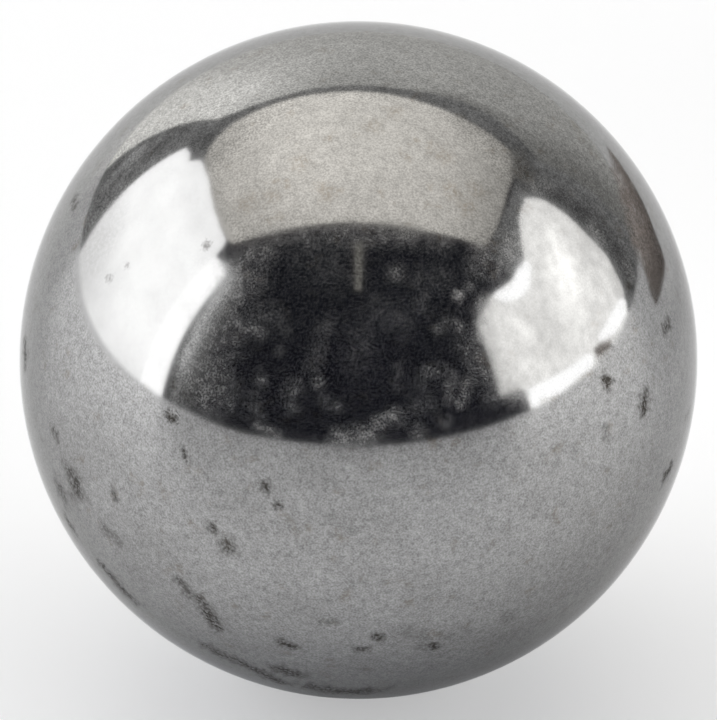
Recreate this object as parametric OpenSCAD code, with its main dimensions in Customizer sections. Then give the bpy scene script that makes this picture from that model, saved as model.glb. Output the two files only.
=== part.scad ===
// Steel ball: one solid, ground and polished to a true sphere. Millimetres, +Z up, with the
// origin at the centre of the ball.

/* [Ball] */
// Diameter of the ball
ball_d = 10; // [1:0.5:50]

/* [Hidden] */

// Facets around a full circle
$fn = 180;

// Colour of the polished steel
steel = [0.55, 0.55, 0.54];

// The ball, resting on nothing: its lowest point is half a diameter below the origin
module ball() {
    color(steel)
        sphere(d = ball_d);
}

ball();
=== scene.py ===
"""Looks of the polished steel ball.

A finer mesh of the same ball replaces the CAD solid. It carries the small pits and scuffs of a used
ball as real hollows, and vertex layers that tell its material where the wear is and where shade is
painted on its lower part. A mirror shows what stands round it, so the stage is a photo tent at its real
distances: a pale table, a lit cloth on each side, a lit top, a grey back and a dark room in front.
Lengths are in metres unless a name says mm, and angles are in degrees. A direction is (turn, height):
the turn is 0 towards the camera (-Y) and positive to its right (+X), and the height is above the ball's
equator.
"""

import math
import random

import bmesh
import bpy
import numpy as np
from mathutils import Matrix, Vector


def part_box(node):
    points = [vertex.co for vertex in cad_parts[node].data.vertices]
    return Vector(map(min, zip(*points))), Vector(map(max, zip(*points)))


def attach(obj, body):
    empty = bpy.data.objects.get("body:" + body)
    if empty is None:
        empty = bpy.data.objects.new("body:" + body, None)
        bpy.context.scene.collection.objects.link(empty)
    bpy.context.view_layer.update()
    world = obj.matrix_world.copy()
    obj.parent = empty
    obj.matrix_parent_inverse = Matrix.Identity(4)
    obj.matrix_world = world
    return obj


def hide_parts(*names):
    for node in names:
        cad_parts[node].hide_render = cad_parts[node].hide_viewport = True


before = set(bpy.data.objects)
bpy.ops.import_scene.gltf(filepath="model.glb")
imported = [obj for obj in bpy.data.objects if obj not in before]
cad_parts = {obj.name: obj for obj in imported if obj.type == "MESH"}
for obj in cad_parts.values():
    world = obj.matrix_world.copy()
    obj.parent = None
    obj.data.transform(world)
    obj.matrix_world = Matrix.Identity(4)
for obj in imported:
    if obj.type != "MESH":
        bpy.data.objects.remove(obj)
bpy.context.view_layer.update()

CAD_NODE = "ball"
low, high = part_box(CAD_NODE)
CENTRE = Vector((0, 0, (low.z + high.z) / 2))
RADIUS = (high.z - low.z) / 2
MM = 0.001
TINY = 1e-12

# The steel mirrors this share of the light that falls on it, and brightens less than plain chrome at its
# rim
STEEL = (0.345, 0.345, 0.344)
RIM_TINT = (0.67, 0.67, 0.67)
STEEL_ROUGHNESS = 0.085
HAZE_ROUGHNESS = 0.2
PIT_ROUGHER = 0.3
# The colour of the pits, which the painted shade on the lower part of the ball takes too
PIT_AND_SHADE_COLOUR = (0.055, 0.051, 0.046)
STAIN_COLOUR = (0.20, 0.17, 0.135)

# How large the lumps of each pattern in the steel are, from the fine grain to the clouds of thin film
GRAIN_SIZE = 0.029 * MM
RAGGED_SIZE = 0.05 * MM
MOTTLE_SIZE = 0.11 * MM
DUST_SIZE = 0.13 * MM
FRECKLE_SIZE = 0.3 * MM
CLOUD_SIZE = 0.6 * MM

# Where most values of a noise lie
USUAL_NOISE = (0.3, 0.7)

# How much a pattern varies the wear, from its gaps to its full places: the ragged one the pits and the
# painted shade, dust the haze, and grain the dulling
PIT_RAGGED = (0.35, 1.15)
HAZE_DUSTY = (0.45, 1.15)
DULL_GRAINY = (0.66, 1.34)

# How much of the polish is lost to full haze, to the thin film and to the grain's own dust
HAZE_DULLS = 0.40
FILM_DULLS = 0.03
GRAIN_DULLS = 0.052

# How the grain varies the steel's colour: the parts of the fine grain and of the mottle in it, how far
# they swing where the steel is lively and where it is calm, how much a cloud of film darkens it, and the
# darkest and lightest that it gets
GRAIN_PART = 0.71
MOTTLE_PART = 0.29
SWING = 0.9
CALM_SWING = 0.05
CLOUD_DARKENS = 0.06
DARKEST = 0.6
LIGHTEST = 1.4

# The ball's mesh: divisions along each edge of the cube that it is blown up from, how often its triangles
# are halved at most, how far round a mark, in half widths, and how long their sides may be there, as a
# share of the mark's width
CUBE_DIVISIONS = 48
MOST_HALVINGS = 3
FINE_REACH = 2.4
PIT_SHARE = 0.25
HAZE_SHARE = 0.4
CALM_SHARE = 1.0

# How deep the pits are, how far apart their slope is measured, and how soft the edge of a calm area is
PIT_DEPTH = 0.003 * MM
SLOPE_STEP = 0.002 * MM
CALM_EDGE_MM = 0.12

# How uneven the outlines of the marks are, as a share of their width
PIT_UNEVEN = 0.4
HAZE_UNEVEN = 0.1

# The tent: how far its cloths, top and back stand from the ball, where the dark room ends, how far strips
# stand in front of a cloth and dark gaps behind it, and how high the table's dark end lies on the table
SIDE = 1.0
TOP = 1.09
BACK = 1.14
ROOM = 3.0
IN_FRONT = 0.002
BEHIND = 0.06
TABLE_END_LIFT = 0.0002

# How bright the narrow strips beside the side cloths are
STRIP_BRIGHTNESS = 1.06

# The brown tag: the turn and distance at which it stands, the middle of its outline in mm, and the sizes
# of its layers, which soften its edge
TAG_TURN = 140
TAG_AWAY_MM = 24
TAG_MIDDLE = (-3, 0.4)
TAG_SIZES = (1.08, 1.0, 0.92, 0.82)

# The table's colour, roughness and sheen, and how much lighter than lit it shows to the camera and when
# it is mirrored
TABLE = (0.90, 0.915, 0.95)
TABLE_ROUGHNESS = 0.4
TABLE_SHEEN = 0.38
SEEN_LIGHTER = 0.4
MIRRORED_LIGHTER = 0.06

# The lamp: its side, how high it hangs and its power in watts
LAMP_SIZE = 1.5
LAMP_HEIGHT = 1.0
LAMP_POWER = 2.0

# The camera: how many ball radii away it stands, its height in degrees and the share of the frame's width
# that the ball fills
CAMERA_RADII = 20
CAMERA_HEIGHT = 29
BALL_SHARE = 0.9456


def direction(turn, height):
    """Unit vector of a direction seen from the ball."""
    t, h = math.radians(turn), math.radians(height)
    return Vector((math.sin(t) * math.cos(h), -math.cos(t) * math.cos(h), math.sin(h)))


# ---------------------------------------------------------------- wear and painted shade

# Each mark is the turn and height of one end, the turn and height of the other, its width in mm and its
# strength, where 1 is a full mark. A round mark has both ends in one place.

# Dark pits and scuffs
PITS = [
    (-82.3, 7, -81.2, 5.2, 0.26, 0.95), (-79.2, 7.4, -79, 7, 0.15, 0.5),
    (-90, 33, -86.5, 33, 0.17, 0.70), (-64.2, 0.2, -63.2, -0.2, 0.17, 0.75),
    (-58.7, -5.2, -57.3, -7.5, 0.30, 0.75), (-57, -6.6, -57, -7.6, 0.34, 0.90),
    (-57.5, -7.5, -59, -10.2, 0.26, 0.55), (-63.6, -11, -63, -12.5, 0.30, 0.75),
    (-46.4, -3.6, -45.8, -4.8, 0.13, 0.70), (-50.2, -13, -46.8, -14.2, 0.24, 0.50),
    (-64.8, -18.6, -63, -20, 0.22, 0.80), (-35.4, 14.6, -34.2, 14.2, 0.11, 1.15),
    (-31.5, 9.3, -30.9, 7.9, 0.10, 0.80), (-25.6, -3.6, -25.4, -4.3, 0.15, 0.90),
    (-23, -6.4, -22.8, -7.4, 0.22, 0.80), (-16.2, 6.3, -16, 5.6, 0.16, 0.85),
    (-13.6, 2.7, -13.6, 2.7, 0.14, 0.85), (-33.5, -17.7, -32.2, -20.6, 0.20, 0.70),
    (-30, -20.8, -28.8, -24, 0.22, 0.75), (-29, -24.5, -28.3, -27.6, 0.27, 0.95),
    (-55.7, -24.5, -54, -26, 0.26, 1.00), (-53.8, -26.5, -52.5, -28, 0.26, 0.90),
    (-52, -28.3, -50.3, -29.8, 0.28, 0.95), (-15, -29.3, -13.2, -29.9, 0.21, 0.90),
    (-17, -39.2, -14.3, -41, 0.30, 0.95), (-34, -36.5, -30, -38.5, 0.26, 0.70),
    (-32, -38.4, -27, -40, 0.28, 0.90), (-27, -40, -23.5, -42.7, 0.28, 0.95),
    (-23.5, -42.7, -19.5, -46.5, 0.30, 0.95), (-7, -21.6, -5.2, -21.9, 0.17, 0.50),
    (3.5, -25.6, 3.7, -26.1, 0.17, 1.05), (0, -29.5, 1, -29.5, 0.15, 0.85),
    (14.6, -29.7, 15.2, -30.6, 0.18, 0.85), (11.8, -30.1, 13.5, -30.2, 0.19, 0.40),
    (9.5, -25, 11.5, -26.5, 0.35, 0.35), (29, -25, 29.6, -26.6, 0.24, 0.40),
    (28.5, -31.5, 31.5, -32, 0.50, 0.25), (-10.5, -47.8, -8, -48.3, 0.40, 1.00),
    (-4.5, -49, 1.5, -49.3, 0.50, 0.95), (49.8, 16, 49.8, 15.8, 0.19, 1.30),
    (59.2, 10, 58.9, 8.8, 0.15, 0.80), (58.6, 8.4, 58.2, 7.2, 0.20, 1.15),
    (47.3, 7.9, 47.2, 6.4, 0.15, 0.45), (69, -9.6, 66.7, -10.5, 0.20, 1.20),
    (59, -3.5, 61.5, -3.5, 0.22, 0.22), (50.9, 1.6, 50.9, 1.6, 0.15, 0.25),
    (70.5, 16.4, 72.5, 16.4, 0.18, 0.85), (75, -3, 77.5, -3, 0.12, 0.40),
    (-56.4, 34.8, -56.4, 34.8, 0.08, 0.55), (-59.6, 31, -59.2, 31.2, 0.11, 0.40),
    (-38.8, 44.5, -38.6, 44, 0.10, 0.55),
]

# Broad faint smudges. The two widest, 2.6 and 2.4 mm across, are painted shade: they darken the lower
# part of the ball, where it mirrors its own shadow on the table
SMUDGES_AND_SHADE = [
    (-9, 8, -5, 8.2, 0.35, 0.16), (0.1, 0.8, 0.1, 0.8, 0.80, 0.16), (5.8, -1.1, 5.8, -1.1, 0.55, 0.18),
    (-12, 2, -11.5, -1.6, 0.45, 0.10), (0, -9, 1, -10, 0.60, 0.12), (-12.5, -19, -9, -19, 0.50, 0.17),
    (0.9, 13, 0.9, 13, 0.50, 0.12), (10.8, -12.5, 10.8, -13.5, 0.55, 0.18),
    (-21, 1, -17, -2, 0.60, 0.12), (-44.3, -20, -44.3, -20, 0.60, 0.12),
    (57.8, -9.6, 57.8, -9.6, 0.60, 0.12), (43.7, -13.8, 43.7, -13.8, 0.50, 0.15),
    (-60, -1, -55, 2, 0.70, 0.12), (-52, 4, -46, 2, 0.60, 0.12), (-68, 32, -68, 36, 0.70, 0.12),
    (-36, -13, -40, -11, 0.70, 0.14), (-29, -24, -29, -24, 0.60, 0.12), (30, -30, 30, -30, 0.90, 0.16),
    (17, 10.5, 17, 10.5, 0.50, 0.14), (30, 7.5, 30, 7.5, 0.60, 0.18), (31, 0, 31, 0, 0.60, 0.16),
    (36, 2, 36, 5, 0.80, 0.10), (18, -27.5, 20, -27, 0.50, 0.20), (38, -20, 48, -22, 0.90, 0.13),
    # The two widest marks on the row below are painted shade on the lower part of the ball
    (0, -32, 0, -38, 0.60, 0.12), (-25, -33, 35, -34, 2.60, 0.07), (34, -22, 56, -8, 2.40, 0.06),
    (58.2, 55.6, 56.2, 53.8, 0.30, 0.85),
]

# Pale haze that dulls the polish
HAZE = [
    (-28.5, 43, -24, 45.5, 0.40, 0.55), (-28, 42, -28.5, 36, 0.50, 0.70),
    (-24, 41, -24, 39, 0.40, 0.35), (-26.5, 32.8, -20, 32.3, 0.20, 0.80),
    (-28, 25.5, -28, 25.5, 0.32, 0.85), (-27.5, 29.5, -27.5, 31.5, 0.55, 0.60),
    (-30, 22, -28, 21, 0.65, 0.75), (-33, 20, -33, 20, 0.35, 0.40),
    (-19.5, 20.5, -18.5, 18, 0.25, 0.30), (-18, 16.6, -14.5, 15.4, 0.14, 0.70),
    (-18.6, 24.5, -18.6, 24.5, 0.20, 0.50), (-11.8, 23.6, -11.8, 23.6, 0.28, 0.50),
    (-13.5, 22.6, -13.5, 22.6, 0.18, 0.30), (-7.7, 25, -7.7, 25, 0.18, 0.85),
    (-6.7, 34.7, -8.7, 27.3, 0.25, 0.25), (-6.3, 22.3, -6.3, 22.3, 0.18, 0.40),
    (-4.3, 21.2, -4.3, 21.2, 0.20, 0.45), (-12, 20.5, -12, 20.5, 0.22, 0.40),
    (-14.8, 33, -14.8, 33, 0.15, 0.35), (-15.6, 29.7, -15.6, 29.7, 0.15, 0.35),
    (-24, 35.5, -18, 35, 0.40, 0.30), (-12.3, 48.3, -12.3, 48.3, 0.25, 0.45),
    (-14.5, 46.5, -14.5, 46.5, 0.40, 0.20), (-9, 45.3, -7, 45.3, 0.60, 0.18),
    (-24, 48.5, -6, 50.5, 0.26, 0.40), (-6, 50.3, 14, 50, 0.32, 0.50), (14, 49.5, 22, 47.5, 0.26, 0.30),
    (8.7, 43.5, 8.7, 43.5, 0.24, 0.60), (14.3, 42.3, 14.3, 42.3, 0.30, 0.22),
    (14.5, 39.9, 14.5, 39.9, 0.18, 0.45), (13, 37.8, 13, 37.8, 0.25, 0.30),
    (22, 38.4, 22, 38.4, 0.17, 1.50), (25, 39.5, 25, 39.5, 0.18, 0.50), (29, 42.5, 31, 44, 0.40, 0.50),
    (18.5, 41.5, 18.5, 41.5, 0.40, 0.22), (16, 33.2, 19, 34.1, 0.15, 0.60),
    (19, 34.1, 21.5, 32.6, 0.15, 0.60), (22.5, 29.5, 23.5, 25, 0.40, 0.45),
    (13, 26.3, 16, 26, 0.20, 0.55), (12.3, 24, 12.3, 24, 0.30, 0.25), (17.3, 25, 17, 21.5, 0.22, 0.55),
    (20.2, 23, 18.7, 20.5, 0.20, 0.80), (13.3, 20.8, 10.5, 20.7, 0.25, 0.35),
    (7.8, 18.3, 7.8, 18.3, 0.22, 0.40), (7.7, 27.5, 7.6, 24, 0.15, 0.25),
    (3.4, 18.2, 6.3, 19.6, 0.19, 1.40), (1.6, 16.6, 3.2, 18.1, 0.17, 0.90),
    (-3.4, 15.6, 1.6, 16.3, 0.26, 1.10), (15.6, 17.5, 15.6, 17.5, 0.18, 0.50),
    (10.5, 16.4, 10.5, 16.4, 0.22, 0.55), (3.8, 16.3, 3.8, 16.3, 0.22, 0.35),
    (28.5, 20, 30, 19, 0.30, 0.45), (25, 20.5, 25, 23, 0.32, 0.30), (0, 33, 0, 29, 0.45, 0.18),
    (4, 37, 9, 35.5, 0.40, 0.25), (-30, 35, -29, 38, 0.35, 0.50), (-31, 27, -32, 31, 0.35, 0.50),
    (27, 36, 25, 30, 0.28, 0.50), (25, 30, 26.5, 25, 0.18, 0.35), (39, 45, 37.5, 42.5, 0.30, 0.65),
    (34.5, 42, 31.5, 40.2, 0.24, 0.45), (60, 50.5, 57, 51, 0.24, 0.40),
    (63.8, 39.5, 63.5, 37.5, 0.20, 0.45), (66.5, 30.5, 66.5, 28.5, 0.20, 0.50),
    (-80.5, 48.5, -80.5, 48.5, 0.25, 0.35),
]

# Calm areas, where the polish has little grain: how calm each is, and its outline in directions
CALM = [
    (1.0, [
        (-67, 57), (-61, 56.5), (-56, 57), (-45.5, 52.5), (-37, 48.5), (-33, 46), (-33.5, 43.5),
        (-29.5, 41.5), (-31.5, 37.5), (-34.5, 32), (-36.5, 25), (-37, 17), (-41.5, 18.5), (-49, 19.5),
        (-57.5, 22), (-67, 26), (-73, 30), (-73, 34), (-71.5, 41.5), (-70.5, 49), (-69, 54.5),
    ]),
    (0.8, [
        (52.5, 51), (56, 49), (59.5, 44), (61, 37.5), (63, 32), (63, 27), (61, 24), (56.5, 22),
        (50, 22.5), (47.5, 20), (42.5, 18.5), (35.5, 17.5), (33, 16), (31.5, 17), (31, 19.5), (27, 20),
        (26, 24), (25, 30), (25, 34.5), (29, 37.5), (38, 40.5), (41.5, 41.5), (44, 46),
    ]),
    (0.3, [
        (-48, 50), (-40, 78), (40, 78), (48, 50), (0, 47),
    ]),
]

# Faint brown stains
STAINS = [
    (8, 72.5, 8, 72.5, 0.22, 0.4), (-23, 64, -22, 63, 0.22, 0.4), (34, 64, 34, 63, 0.22, 0.4),
    (-11.5, 59, -10, 58, 0.22, 0.5), (30, 57, 30, 56, 0.20, 0.5), (38, 56, 38, 55, 0.20, 0.4),
    (32, 53, 33, 53, 0.22, 0.5), (-34, 53, -33, 54, 0.22, 0.4), (-28, 56, -27, 56, 0.20, 0.4),
    (25, 75, 25, 75, 0.20, 0.4),
]

# Sparse pits on the side that the camera does not see: how many, the seed that scatters them, the turns
# and the sines of the heights that they lie between, how far they run, their widths in mm and their
# strengths
HIDDEN_PITS = 26
HIDDEN_SEED = 7
HIDDEN_TURNS = (95, 265)
HIDDEN_SINES = (-0.95, 0.95)
HIDDEN_TURN_RUN = (-2, 2)
HIDDEN_HEIGHT_RUN = (-3, 3)
HIDDEN_WIDTHS = (0.10, 0.18)
HIDDEN_STRENGTHS = (0.4, 0.9)


def hidden_pits():
    """Small pits scattered over the far side, as sparse as those in front."""
    rng = random.Random(HIDDEN_SEED)
    found = []
    while len(found) < HIDDEN_PITS:
        turn, height = rng.uniform(*HIDDEN_TURNS), math.degrees(math.asin(rng.uniform(*HIDDEN_SINES)))
        width, strength = rng.uniform(*HIDDEN_WIDTHS), rng.uniform(*HIDDEN_STRENGTHS)
        if direction(turn, height).dot(direction(0, CAMERA_HEIGHT)) < -0.1:
            end = (turn + rng.uniform(*HIDDEN_TURN_RUN), height + rng.uniform(*HIDDEN_HEIGHT_RUN))
            found.append((turn, height, *end, width, strength))
    return found


def wobble(spots):
    """Smooth ups and downs from -1 to 1 over places."""
    x, y, z = spots.T
    waves = np.sin(5.3 * x + 1.9 * np.sin(3.1 * z + 0.7))
    return waves * np.sin(4.7 * y + 2.1 * np.sin(3.7 * x + 1.3) + 2.9 * z)


def gaps(unit, mark):
    """How far each direction lies from a mark's middle line, in half widths of the mark."""
    a, b = (np.array(direction(*end)) * RADIUS for end in (mark[:2], mark[2:4]))
    offset = unit * RADIUS - a
    along = np.clip(offset @ (b - a) / max(float((b - a) @ (b - a)), TINY), 0, 1)
    return np.linalg.norm(offset - along[:, None] * (b - a), axis=1) / (mark[4] * MM / 2)


def wear_and_shade(unit, marks, uneven):
    """How strong the marks of wear and of painted shade are in each direction: over each mark a soft hill
    with an uneven outline, down to nothing about two half widths out."""
    most = np.zeros(len(unit))
    for mark in marks:
        outline = 1 + uneven * wobble(unit * RADIUS / (mark[4] * MM))
        inside = np.clip(1 - gaps(unit, mark) * outline / 2, 0, 1)
        most = np.maximum(most, mark[5] * inside * inside * (3 - 2 * inside))
    return most


def flattened(turns, heights, middle):
    """Directions laid flat round one turn, as two lists of places in mm."""
    mm_per_degree = math.radians(RADIUS / MM)
    return (turns - middle) * np.cos(np.radians(heights)) * mm_per_degree, heights * mm_per_degree


def calmness(unit):
    """How calm the grain is in each direction: full inside the outlines, gone a little way outside."""
    turns, heights = np.degrees(np.arctan2(unit[:, 0], -unit[:, 1])), np.degrees(np.arcsin(unit[:, 2]))
    most = np.zeros(len(unit))
    for calm, outline in CALM:
        ends = np.array(outline, float)
        middle = ends[:, 0].mean()
        x, y = flattened(turns, heights, middle)
        xs, ys = flattened(ends[:, 0], ends[:, 1], middle)
        away, within = np.full(len(unit), np.inf), np.zeros(len(unit), bool)
        for ax, ay, bx, by in zip(xs, ys, np.roll(xs, 1), np.roll(ys, 1)):
            dx, dy = bx - ax, by - ay
            along = np.clip(((x - ax) * dx + (y - ay) * dy) / (dx ** 2 + dy ** 2), 0, 1)
            away = np.minimum(away, np.hypot(x - ax - along * dx, y - ay - along * dy))
            within ^= ((ay > y) != (by > y)) & (x < ax + (y - ay) * dx / (dy + TINY))
        most = np.maximum(most, calm * np.where(within, 1, np.clip(1 - away / CALM_EDGE_MM, 0, 1)))
    return most


def calm_edges():
    """A narrow mark along each side of the calm outlines, so that the mesh is finer there."""
    return [(*a, *b, CALM_EDGE_MM, 1)
            for _, outline in CALM
            for a, b in zip(outline, outline[1:] + outline[:1])]


# ---------------------------------------------------------------- the ball's mesh

def cube_sphere():
    """A cube blown up to the ball, its sides cut in equal angles, with a UV square for each side."""
    bm = bmesh.new()
    uv = bm.loops.layers.uv.new("ball_map")
    n = CUBE_DIVISIONS
    steps = [math.tan(math.radians(90 * i / n - 45)) for i in range(n + 1)]
    sides = [((1, 0, 0), (0, 1, 0), (0, 0, 1)), ((-1, 0, 0), (0, 0, 1), (0, 1, 0)),
             ((0, 1, 0), (0, 0, 1), (1, 0, 0)), ((0, -1, 0), (1, 0, 0), (0, 0, 1)),
             ((0, 0, 1), (1, 0, 0), (0, 1, 0)), ((0, 0, -1), (0, 1, 0), (1, 0, 0))]
    for s, axes in enumerate(sides):
        out, right, up = (Vector(axis) for axis in axes)
        grid = [[bm.verts.new((out + a * right + b * up).normalized() * RADIUS) for a in steps]
                for b in steps]
        for j in range(n):
            for i in range(n):
                places = [(i, j), (i + 1, j), (i + 1, j + 1), (i, j + 1)]
                face = bm.faces.new([grid[b][a] for a, b in places])
                for loop, (a, b) in zip(face.loops, places):
                    loop[uv].uv = ((s % 3 + a / n) / 3, (s // 3 + b / n) / 2)
    bmesh.ops.remove_doubles(bm, verts=bm.verts, dist=RADIUS * 1e-6)
    bmesh.ops.recalc_face_normals(bm, faces=bm.faces)
    bmesh.ops.triangulate(bm, faces=bm.faces)
    return bm


def refine(bm, marks, share):
    """Halves the triangles in and round each mark until their sides are at most a share of its width."""
    for _ in range(MOST_HALVINGS):
        bm.faces.ensure_lookup_table()
        middles = np.array([face.calc_center_median() for face in bm.faces])
        reach = np.array([max(edge.calc_length() for edge in face.edges) for face in bm.faces])
        unit = middles / np.linalg.norm(middles, axis=1)[:, None]
        near = np.zeros(len(unit), bool)
        for mark in marks:
            width = mark[4] * MM
            near |= (reach > width * share) & (gaps(unit, mark) < FINE_REACH + reach / width)
        edges = {edge for face, hit in zip(bm.faces, near) if hit for edge in face.edges}
        bmesh.ops.subdivide_edges(bm, edges=list(edges), cuts=1)
        bmesh.ops.triangulate(bm, faces=bm.faces)


def surface_normals(unit, pits):
    """Exact normals of the pitted sphere, from the slope of its depth."""
    helper = np.where(np.abs(unit[:, 2:]) < 0.9, [[0.0, 0.0, 1.0]], [[1.0, 0.0, 0.0]])
    side = np.cross(unit, helper)
    side /= np.linalg.norm(side, axis=1)[:, None]
    normals = unit.copy()
    for axis in (side, np.cross(unit, side)):
        ahead = wear_and_shade(unit + axis * SLOPE_STEP / RADIUS, pits, PIT_UNEVEN)
        behind = wear_and_shade(unit - axis * SLOPE_STEP / RADIUS, pits, PIT_UNEVEN)
        normals += axis * (PIT_DEPTH * (ahead - behind) / (2 * SLOPE_STEP))[:, None]
    return normals / np.linalg.norm(normals, axis=1)[:, None]


def add_layer(mesh, name, values):
    """A number for each vertex, which the material reads by name."""
    made = mesh.attributes.new(name, "FLOAT", "POINT")
    made.data.foreach_set("value", values.astype(np.float32))


def make_ball():
    """The ball: a true sphere with its pits pressed in, exact normals, and layers of wear and painted
    shade.
    """
    pits = PITS + hidden_pits()
    bm = cube_sphere()
    refine(bm, calm_edges(), CALM_SHARE)
    refine(bm, HAZE + STAINS, HAZE_SHARE)
    refine(bm, pits, PIT_SHARE)
    mesh = bpy.data.meshes.new("steel_ball")
    bm.to_mesh(mesh)
    bm.free()
    spots = np.zeros(len(mesh.vertices) * 3)
    mesh.vertices.foreach_get("co", spots)
    spots = spots.reshape(-1, 3)
    unit = spots / np.linalg.norm(spots, axis=1)[:, None]
    pitted = wear_and_shade(unit, pits, PIT_UNEVEN)
    # The smudges, among them painted shade on the lower part of the ball, share one layer with the pits
    smudged_and_shaded = wear_and_shade(unit, SMUDGES_AND_SHADE, PIT_UNEVEN)
    spots = unit * (RADIUS - PIT_DEPTH * pitted)[:, None] + np.array(CENTRE)
    mesh.vertices.foreach_set("co", spots.ravel())
    add_layer(mesh, "pit_and_shade", np.maximum(pitted, smudged_and_shaded))
    add_layer(mesh, "haze", wear_and_shade(unit, HAZE, HAZE_UNEVEN))
    add_layer(mesh, "stain", wear_and_shade(unit, STAINS, PIT_UNEVEN))
    add_layer(mesh, "calm", calmness(unit))
    mesh.shade_smooth()
    mesh.normals_split_custom_set_from_vertices(surface_normals(unit, pits))
    ball = bpy.data.objects.new("steel_ball", mesh)
    bpy.context.scene.collection.objects.link(ball)
    return ball


# ---------------------------------------------------------------- materials

def add(tree, kind, inputs=None, output=0, **settings):
    """Adds a node and gives its output. Each input is a plain value or another node's output."""
    made = tree.nodes.new(kind)
    for key, value in settings.items():
        setattr(made, key, value)
    for key, value in (inputs or {}).items():
        if isinstance(value, bpy.types.NodeSocket):
            tree.links.new(value, made.inputs[key])
        else:
            made.inputs[key].default_value = value
    return made.outputs[output] if made.outputs else None


def new_material(name):
    """An empty material and its node tree."""
    material = bpy.data.materials.new(name)
    material.use_nodes = True
    material.node_tree.nodes.clear()
    return material, material.node_tree


def noise(tree, place, size, detail=2.0):
    """Cloudy noise from 0 to 1 whose lumps are about that size."""
    return add(tree, "ShaderNodeTexNoise", {"Vector": place, "Scale": 1 / size, "Detail": detail})


def spread(tree, value, low_in, high_in, low_out=0.0, high_out=1.0):
    """A value moved from one range to another and held within it."""
    return add(tree, "ShaderNodeMapRange", {"Value": value, "From Min": low_in, "From Max": high_in,
                                            "To Min": low_out, "To Max": high_out})


def sums(tree, operation, a, b):
    """One step of arithmetic."""
    return add(tree, "ShaderNodeMath", {0: a, 1: b}, operation=operation)


def blend_colour(tree, share, a, b):
    """Colour a going over to colour b. These numbers are the mix node's colour inputs and output."""
    return add(tree, "ShaderNodeMix", {0: share, 6: a, 7: b}, output=2, data_type="RGBA")


def colour(rgb, times=1.0):
    """A colour made lighter or darker, with its alpha."""
    return (*(c * times for c in rgb), 1.0)


def layer(tree, name):
    """One of the ball's vertex layers."""
    return add(tree, "ShaderNodeAttribute", output="Fac", attribute_name=name)


def worn_and_shaded_steel():
    """Polished steel with a fine grain, thin haze, faint freckles, soft ragged pits and painted shade on
    its lower part.
    """
    material, tree = new_material("worn_and_shaded_steel")
    place = add(tree, "ShaderNodeTexCoord", output="Object")

    # Patterns all over the ball
    grain = spread(tree, noise(tree, place, GRAIN_SIZE, 0.0), 0.25, 0.75)
    mottle = spread(tree, noise(tree, place, MOTTLE_SIZE, 1.0), *USUAL_NOISE)
    ragged = spread(tree, noise(tree, place, RAGGED_SIZE, 1.0), 0.3, 0.6)
    dust = spread(tree, noise(tree, place, DUST_SIZE, 3.0), 0.35, 0.62)
    cloud = spread(tree, noise(tree, place, CLOUD_SIZE, 3.0), 0.42, 0.68)

    # Wear and painted shade: what the vertex layers tell, broken up by the patterns
    calm = layer(tree, "calm")
    freckle = spread(tree, noise(tree, place, FRECKLE_SIZE, 2.0), 0.62, 0.74)
    freckle = sums(tree, "MULTIPLY", freckle, spread(tree, calm, 0.4, 1, 0.5, 0))
    pit_and_shade = sums(tree, "MULTIPLY", layer(tree, "pit_and_shade"), spread(tree, ragged, 0, 1, *PIT_RAGGED))
    haze = sums(tree, "MULTIPLY", layer(tree, "haze"), spread(tree, dust, 0, 1, *HAZE_DUSTY))
    film = sums(tree, "MULTIPLY", cloud, dust)
    stain = sums(tree, "MAXIMUM", layer(tree, "stain"), freckle)

    # Colour
    speckle = sums(tree, "MULTIPLY", grain, GRAIN_PART)
    speckle = sums(tree, "ADD", speckle, sums(tree, "MULTIPLY", mottle, MOTTLE_PART))
    swing = spread(tree, calm, 0, 1, SWING, CALM_SWING)
    swing = sums(tree, "MULTIPLY", sums(tree, "SUBTRACT", speckle, 0.5), swing)
    swing = sums(tree, "SUBTRACT", swing, sums(tree, "MULTIPLY", cloud, CLOUD_DARKENS))
    lightness = sums(tree, "ADD", 0.5, swing)
    steel = blend_colour(tree, lightness, colour(STEEL, DARKEST), colour(STEEL, LIGHTEST))
    steel = blend_colour(tree, sums(tree, "MULTIPLY", stain, ragged), steel, colour(STAIN_COLOUR))
    # Pits darken the steel, and so does the painted shade on the lower part of the ball
    steel = blend_colour(tree, pit_and_shade, steel, colour(PIT_AND_SHADE_COLOUR))

    # How far the polish is dulled
    dull = sums(tree, "MULTIPLY", haze, HAZE_DULLS)
    dull = sums(tree, "ADD", dull, sums(tree, "MULTIPLY", film, FILM_DULLS))
    dull = sums(tree, "MULTIPLY", dull, spread(tree, grain, 0, 1, *DULL_GRAINY))
    dull = sums(tree, "ADD", dull, spread(tree, grain, 0.1, 0.9, 0, GRAIN_DULLS))
    roughness = spread(tree, haze, 0, 1, STEEL_ROUGHNESS, HAZE_ROUGHNESS)
    roughness = sums(tree, "ADD", roughness, sums(tree, "MULTIPLY", pit_and_shade, PIT_ROUGHER))

    shader = add(tree, "ShaderNodeBsdfPrincipled", {
        "Base Color": steel,
        "Metallic": sums(tree, "SUBTRACT", 1.0, dull),
        "Roughness": roughness,
        "Specular Tint": colour(RIM_TINT),
    })
    add(tree, "ShaderNodeOutputMaterial", {"Surface": shader})
    return material


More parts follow.
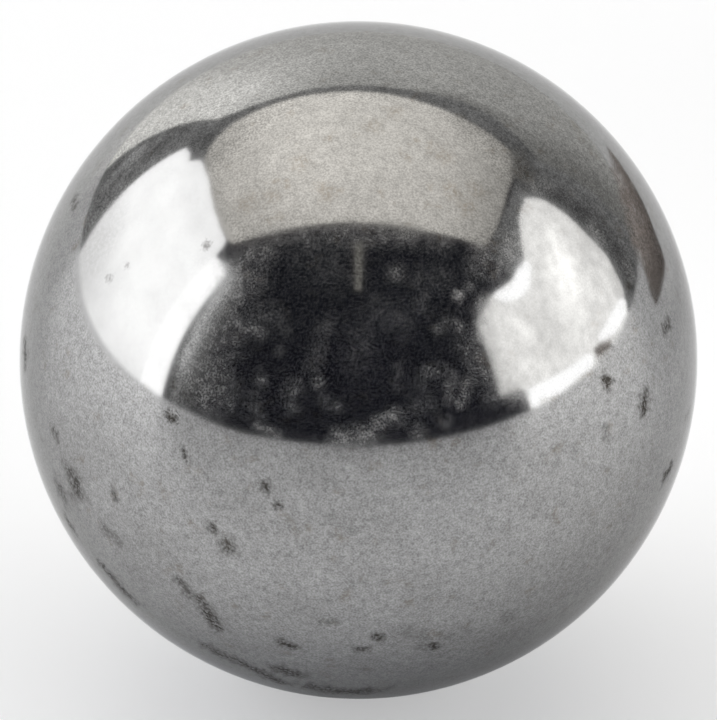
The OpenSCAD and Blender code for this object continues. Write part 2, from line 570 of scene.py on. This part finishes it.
def pale_table():
    """The pale surface that the ball lies on. It has a sheen and shows a little lighter than lit."""
    material, tree = new_material("pale_table")
    surface = add(tree, "ShaderNodeBsdfPrincipled", {
        "Base Color": colour(TABLE),
        "Roughness": TABLE_ROUGHNESS,
        "Specular IOR Level": TABLE_SHEEN,
    })
    white = add(tree, "ShaderNodeEmission", {"Color": (1, 1, 1, 1), "Strength": 1.0})
    camera, glossy, transmission = (add(tree, "ShaderNodeLightPath", output=f"Is {kind} Ray")
                                    for kind in ("Camera", "Glossy", "Transmission"))
    mirrored = sums(tree, "MAXIMUM", glossy, transmission)
    share = sums(tree, "ADD", sums(tree, "MULTIPLY", camera, SEEN_LIGHTER),
                 sums(tree, "MULTIPLY", mirrored, MIRRORED_LIGHTER))
    mixed = add(tree, "ShaderNodeMixShader", {0: share, 1: surface, 2: white})
    add(tree, "ShaderNodeOutputMaterial", {"Surface": mixed})
    return material


def glow(name, stops, axis="X", crease=0.0, crease_size=0.2, spots=(), fade=None):
    """A lit cloth or wall. stops are (place along the axis, colour), where a brightness of 1 shows plain
    white in the steel. spots are (centre, radius, gain) of brighter or darker patches. fade is the two
    places along the axis between which it goes over to clear, in blotches."""
    material, tree = new_material(name)
    place = add(tree, "ShaderNodeTexCoord", output="Object")
    apart = add(tree, "ShaderNodeSeparateXYZ", {"Vector": place}, output=axis)
    first, last = stops[0][0], stops[-1][0]
    ramp = add(tree, "ShaderNodeValToRGB", {"Fac": spread(tree, apart, first, last)}).node
    peak = max(max(rgb) for _, rgb in stops)
    full = peak / STEEL[0]
    while len(ramp.color_ramp.elements) < len(stops):
        ramp.color_ramp.elements.new(0.5)
    for element, (spot, rgb) in zip(ramp.color_ramp.elements, stops):
        element.position = (spot - first) / (last - first)
        element.color = colour(rgb, 1 / peak)
    creases = noise(tree, place, crease_size, 3.0)
    bright = spread(tree, creases, *USUAL_NOISE, full * (1 - crease), full * (1 + crease))
    for centre, radius, gain in spots:
        gap = add(tree, "ShaderNodeVectorMath", {0: place, 1: centre}, "Value", operation="DISTANCE")
        bright = sums(tree, "MULTIPLY", bright, spread(tree, gap, radius * 0.3, radius, 1 + gain, 1))
    shader = add(tree, "ShaderNodeEmission", {"Color": ramp.outputs[0], "Strength": bright})
    if fade:
        blotch = (fade[1] - fade[0]) * 0.35
        ragged = spread(tree, noise(tree, place, crease_size * 2, 3.0), *USUAL_NOISE, -blotch, blotch)
        share = spread(tree, sums(tree, "ADD", apart, ragged), *fade)
        clear = add(tree, "ShaderNodeBsdfTransparent")
        shader = add(tree, "ShaderNodeMixShader", {0: share, 1: shader, 2: clear})
    add(tree, "ShaderNodeOutputMaterial", {"Surface": shader})
    return material


def shades(pairs, tint=(1, 1, 1)):
    """The stops of a surface of one tint, from places along its axis and their brightnesses."""
    return [(place, tuple(brightness * c for c in tint)) for place, brightness in pairs]


def even(brightness, tint=(1, 1, 1)):
    """The stops of a surface that is equally bright all over."""
    return shades([(-1, brightness), (1, brightness)], tint)


# ---------------------------------------------------------------- stage

WARM = (1.0, 0.963, 0.895)
CREAM = (1.0, 0.99, 0.965)
PALE = (1.0, 0.99, 0.95)
BROWN = (1.0, 0.86, 0.78)


def show(name, mesh, material):
    """Puts a mesh on the stage. Light and reflections see it, and the camera does not."""
    thing = bpy.data.objects.new(name, mesh)
    thing.visible_camera = False
    mesh.materials.append(material)
    bpy.context.scene.collection.objects.link(thing)
    return thing


def plate(name, corners, material):
    """A flat sheet of the stage."""
    mesh = bpy.data.meshes.new(name)
    mesh.from_pydata([tuple(corner) for corner in corners], [], [list(range(len(corners)))])
    return show(name, mesh, material)


def seen_on(axis, distance, turn, height):
    """The point of a plane across one axis that is seen from the ball in one direction."""
    ray = direction(turn, height)
    return CENTRE + ray * (distance / ray["XYZ".index(axis)])


def patches(axis, distance, rows):
    """Brighter and darker patches of a sheet, from the turn and height in which the ball sees each."""
    return [(seen_on(axis, distance, turn, height), radius, gain) for turn, height, radius, gain in rows]


def across(name, axis, distance, outline, material):
    """A flat sheet across one axis, its corners given as the directions in which the ball sees them."""
    return plate(name, [seen_on(axis, distance, turn, height) for turn, height in outline], material)


def make_floor():
    """The pale table: a round disc under the ball."""
    turns = [math.radians(turn) for turn in range(0, 360, 3)]
    ring = [Vector((ROOM * math.cos(t), ROOM * math.sin(t), CENTRE.z - RADIUS)) for t in turns]
    plate("floor", ring, pale_table()).visible_camera = True


def make_table_end():
    """The dark end of the table top, front left."""
    across("table_end", "Z", TABLE_END_LIFT - RADIUS, [
        (-54, -0.4), (-46, -0.75), (-36, -0.8), (-28, -0.4), (-28, -0.12), (-54, -0.12),
    ], glow("table_end", even(0.006)))


def make_left_side():
    """The lit cloth on the left, its brighter front strip and the curtain in front of it."""
    cloth = glow("left_cloth", shades([
        (0.0, 0.86), (0.12, 0.95), (0.22, 0.98), (0.75, 0.98), (0.95, 0.90),
    ]), "Z", 0.02, 0.2, patches("X", -SIDE, [
        (-124, 4, 0.35, -0.20), (-109, 8, 0.22, -0.10), (-97, 42, 0.16, -0.06),
    ]))
    across("left_cloth", "X", -SIDE, [
        (-76, -0.5), (-76, 41), (-78.5, 43.2), (-79.5, 46.3), (-81.5, 47.9), (-90, 47.8), (-100, 47.3),
        (-110, 46.3), (-120, 43), (-126.5, 39.7), (-128.5, 38), (-129.5, 34.5), (-133, 33), (-136, 30),
        (-133.2, 20), (-130.5, 10), (-128.5, -0.5),
    ], cloth)
    across("left_strip", "X", -SIDE + IN_FRONT, [
        (-69.4, -0.5), (-68.8, 20), (-67.5, 37), (-67.5, 41), (-69, 43.4), (-78.5, 42.8), (-79, -0.5),
    ], glow("left_strip", even(STRIP_BRIGHTNESS)))
    curtain = glow("left_curtain", shades([
        (-0.66, 0.03), (-0.60, 0.06), (-0.565, 0.12), (-0.55, 0.19), (-0.53, 0.15), (-0.515, 0.22),
        (-0.50, 0.42), (-0.47, 0.42), (-0.45, 0.26), (-0.43, 0.12), (-0.405, 0.09), (-0.39, 0.06),
        (-0.36, 0.05),
    ]), "Y", 0.3, 0.04, patches("X", -SIDE, [
        (-66, 3, 0.25, -0.4), (-62, 3, 0.2, -0.5),
    ]))
    across("left_curtain", "X", -SIDE, [
        (-57, -0.5), (-57, 36), (-60, 42), (-64, 44), (-68, 44), (-70, -0.5),
    ], curtain)


def make_right_side():
    """The creased cloth on the right with its bright strips, and the dark band above and behind it."""
    cloth = glow("right_cloth", shades([
        (-0.82, 0.62), (-0.6, 0.76), (0.0, 0.78), (0.3, 0.745), (0.5, 0.65),
    ], CREAM), "Y", 0.17, 0.06, patches("X", SIDE, [
        (104, 31, 0.12, 0.16), (99, 27, 0.17, 0.15), (96, 25, 0.19, 0.18), (91, 20, 0.20, 0.18),
        (63.5, 29, 0.06, 0.22), (65, 25.5, 0.06, 0.24), (66.5, 22, 0.06, 0.22), (75, 16, 0.16, -0.14),
        (72, 24, 0.10, -0.10), (88, 33, 0.09, -0.06), (108, 18, 0.14, -0.08), (61, 14, 0.07, 0.16),
    ]))
    across("right_cloth", "X", SIDE, [
        (49.5, 7.5), (49.5, 30), (51.5, 33.3), (56.5, 35.3), (62, 36.9), (75, 36), (85, 36.5),
        (90, 39.3), (100, 41.7), (107, 41), (111.5, 39.5), (114, 36.5), (115, 33), (115, 27), (114, 20),
        (114.5, 12), (112.5, 3.5), (110, 2.5), (110, -0.5), (59.5, -0.5), (58.5, 6.5), (54, 7.5),
    ], cloth)
    strip = glow("right_strip", even(STRIP_BRIGHTNESS))
    across("right_top_strip", "X", SIDE - IN_FRONT, [
        (62, 36.2), (65, 32.8), (72, 30.5), (78, 30.5), (85, 33.5), (85.5, 36), (80, 36.9), (72, 35.5),
        (65, 36.9),
    ], strip)
    across("right_low_strip", "X", SIDE - IN_FRONT, [
        (59, 6.2), (60, 0.3), (63, -0.3), (64, 1.6), (71, -0.2), (79, 0.4), (88, 0.3), (88, 2.6),
        (86, 4), (79, 4.5), (70, 5.3),
    ], strip)
    across("right_rear_strip", "X", SIDE - IN_FRONT, [
        (93, 3.3), (101, 0.8), (110, 0.4), (111.5, 2.2), (109, 4.2), (102, 5), (93, 4.8),
    ], strip)
    across("right_notch", "X", SIDE - 2 * IN_FRONT, [
        (89, 3.6), (90, 0.5), (97, -0.5), (98, 0.8), (93, 2.9),
    ], glow("right_notch", even(0.13, BROWN), "X", 0.4, 0.02))
    band = glow("right_band", shades([
        (-0.30, 0.08), (-0.1, 0.09), (0.02, 0.10), (0.12, 0.112), (0.22, 0.10), (0.40, 0.115),
        (0.52, 0.085), (0.58, 0.05), (0.66, 0.055), (0.72, 0.085), (0.90, 0.109),
    ]), "Y", 0.4, 0.05, patches("X", SIDE + BEHIND, [
        (118, 2, 0.12, -0.4), (126, 36, 0.10, -0.5),
    ]))
    across("right_band", "X", SIDE + BEHIND, [
        (74, -0.5), (74, 44), (80, 47.3), (90, 47), (100, 46), (110, 44), (120, 41), (131, 36),
        (131, -0.5),
    ], band)


def make_back():
    """The grey back wall, which glows with painted light that fades towards the right, and the darker
    space behind its edges.
    """
    # The wall's glow is painted light, fading towards the right where less light falls
    wall = glow("back_wall", shades([
        (-0.74, 0.561), (-0.53, 0.59), (-0.41, 0.54), (-0.30, 0.43), (-0.16, 0.375), (0.0, 0.345),
        (0.2, 0.32), (0.42, 0.285), (0.66, 0.25), (0.8, 0.215), (0.96, 0.16), (1.14, 0.122),
        (1.36, 0.106),
    ], PALE), "X", 0.04, 0.15, patches("Y", BACK, [
        (163, 42, 0.12, -0.3), (156, 37, 0.18, -0.35), (148, 34, 0.22, -0.35), (180, 42, 0.45, -0.22),
        (-156, 37, 0.25, -0.25),
    ]))
    across("back_wall", "Y", BACK, [
        (-147.5, -0.5), (-146.5, 20), (-146, 32.5), (-150, 36.2), (-157, 39.6), (-165, 41.4), (180, 43),
        (170, 42.5), (165, 41.5), (160, 39.5), (154, 36.5), (148, 34), (140, 32), (130, 30),
        (130, -0.5),
    ], wall)
    behind = glow("behind_back", shades([
        (-1.6, 0.139), (-0.9, 0.125), (-0.8, 0.095), (-0.6, 0.11), (0.5, 0.10), (0.75, 0.11),
        (1.3, 0.06),
    ]), "X", 0.45, 0.07, patches("Y", BACK + BEHIND, [
        (-143.5, 10, 0.10, 0.9), (-140, 19, 0.14, -0.3), (-141, 5, 0.10, 0.4), (-135, 33.5, 0.42, -0.4),
    ]))
    across("behind_back", "Y", BACK + BEHIND, [
        (-120, -0.5), (-125, 40), (-150, 45), (180, 49), (150, 45), (125, 44), (120, -0.5),
    ], behind)


def make_top():
    """The lit cloth over the ball."""
    cloth = glow("top_cloth", shades([
        (-1.02, 0.32), (-0.92, 0.40), (-0.65, 0.48), (-0.5, 0.54), (-0.3, 0.575), (0.0, 0.53),
        (0.25, 0.50), (0.55, 0.425), (0.85, 0.29), (1.0, 0.241),
    ], WARM), "X", 0.10, 0.11, patches("Z", TOP, [
        (-76, 60, 0.45, -0.15), (0, 62, 0.75, -0.22), (-132, 42, 0.25, -0.15), (145, 43, 0.25, -0.15),
    ]))
    across("top_cloth", "Z", TOP, [
        (-81.5, 48.1), (-90, 48), (-100, 47), (-110, 45.4), (-120, 42.3), (-128, 39.5), (-134, 38.5),
        (-139, 38.5), (-144, 39), (-150, 40.7), (-157, 42.8), (-165, 44.7), (180, 46.5), (170, 46.6),
        (160, 46), (150, 44.2), (140, 41), (131.5, 38.3), (120, 42), (110, 45.5), (100, 47), (90, 47.8),
        (80, 48.1), (75.3, 48.4), (74, 51.4), (70.7, 55.6), (55.9, 66.3), (21.6, 75.5), (-10.8, 76.6),
        (-55.8, 68), (-70.7, 57.1), (-77, 49.3),
    ], cloth)
    across("top_slit", "Z", TOP, [
        (-3.8, 70), (4.6, 70), (1.5, 52.5), (-2, 52.5),
    ], glow("top_slit", even(0.109, (1, 0.965, 0.87))))


def make_brown_tag():
    """A small brown tag that stands on the table behind the ball, out of view. It glows with painted
    light, and is darker towards its foot as a painted shadow on the table.
    """
    outline = [(4, 0.2), (1.4, -1.1), (-0.8, -1.6), (-2.2, -2.9), (-4.8, -2.4), (-7, -2.1), (-9.4, -1.7),
               (-9.6, -0.4), (-8.6, 1.4), (-8.2, 3.2), (-6.3, 3.9), (-3.7, 4), (-0.5, 3.2), (2.4, 1.2)]
    turn = math.radians(TAG_TURN)
    out, along = direction(TAG_TURN, 0), Vector((math.cos(turn), math.sin(turn), 0))
    side, up = TAG_MIDDLE
    # The tag's glow is painted light, darker at the foot as painted shadow
    tag = glow("brown_tag", shades([
        (-0.004, 0.06), (-0.0015, 0.07), (0.0002, 0.11), (0.002, 0.155), (0.004, 0.155),
    ], BROWN), "Z", 0.5, 0.0005, fade=(-0.003, 0.0065))
    for number, size in enumerate(TAG_SIZES):
        away = out * (TAG_AWAY_MM - number / 10)
        spots = [away + along * (side + (a - side) * size) + Vector((0, 0, up + (b - up) * size))
                 for a, b in outline]
        plate(f"brown_tag_{number}", [CENTRE + spot * MM for spot in spots], tag)


def make_room():
    """The dark room round the tent: a dome over the table."""
    bm = bmesh.new()
    bmesh.ops.create_uvsphere(bm, u_segments=48, v_segments=24, radius=ROOM)
    bmesh.ops.delete(bm, geom=[vert for vert in bm.verts if vert.co.z < -0.001], context="VERTS")
    bmesh.ops.translate(bm, verts=bm.verts, vec=(0, 0, CENTRE.z - RADIUS))
    mesh = bpy.data.meshes.new("dark_room")
    bm.to_mesh(mesh)
    bm.free()
    dark = glow("dark_room", [(-ROOM, (0.0045, 0.0045, 0.007)), (ROOM, (0.006, 0.006, 0.009))])
    show("dark_room", mesh, dark)


def make_lamp():
    """A broad soft lamp over the table, which the ball doesn't mirror."""
    data = bpy.data.lights.new("soft_lamp", "AREA")
    data.size = LAMP_SIZE
    data.energy = LAMP_POWER
    lamp = bpy.data.objects.new("soft_lamp", data)
    lamp.location = (0, 0, LAMP_HEIGHT)
    lamp.visible_glossy = False
    bpy.context.scene.collection.objects.link(lamp)


def make_world():
    """Plain white beyond the stage."""
    world = bpy.data.worlds.new("world")
    bpy.context.scene.world = world
    world.use_nodes = True
    world.node_tree.nodes["Background"].inputs["Color"].default_value = (1, 1, 1, 1)


def make_camera():
    """A view without perspective, as of a very long lens, aimed at the ball's centre."""
    away = direction(0, CAMERA_HEIGHT)
    data = bpy.data.cameras.new("camera")
    data.type = "ORTHO"
    data.sensor_fit = "HORIZONTAL"
    data.ortho_scale = 2 * RADIUS / BALL_SHARE
    data.clip_start = RADIUS
    camera = bpy.data.objects.new("camera", data)
    camera.location = CENTRE + away * CAMERA_RADII * RADIUS
    camera.rotation_euler = away.to_track_quat("Z", "Y").to_euler()
    bpy.context.scene.collection.objects.link(camera)
    bpy.context.scene.camera = camera


make_camera()
ball = make_ball()
ball.data.materials.append(worn_and_shaded_steel())
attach(ball, "root")
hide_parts(CAD_NODE)

make_floor()
make_table_end()
make_left_side()
make_right_side()
make_back()
make_top()
make_brown_tag()
make_room()
make_lamp()
make_world()
bpy.context.scene.view_settings.view_transform = "Standard"
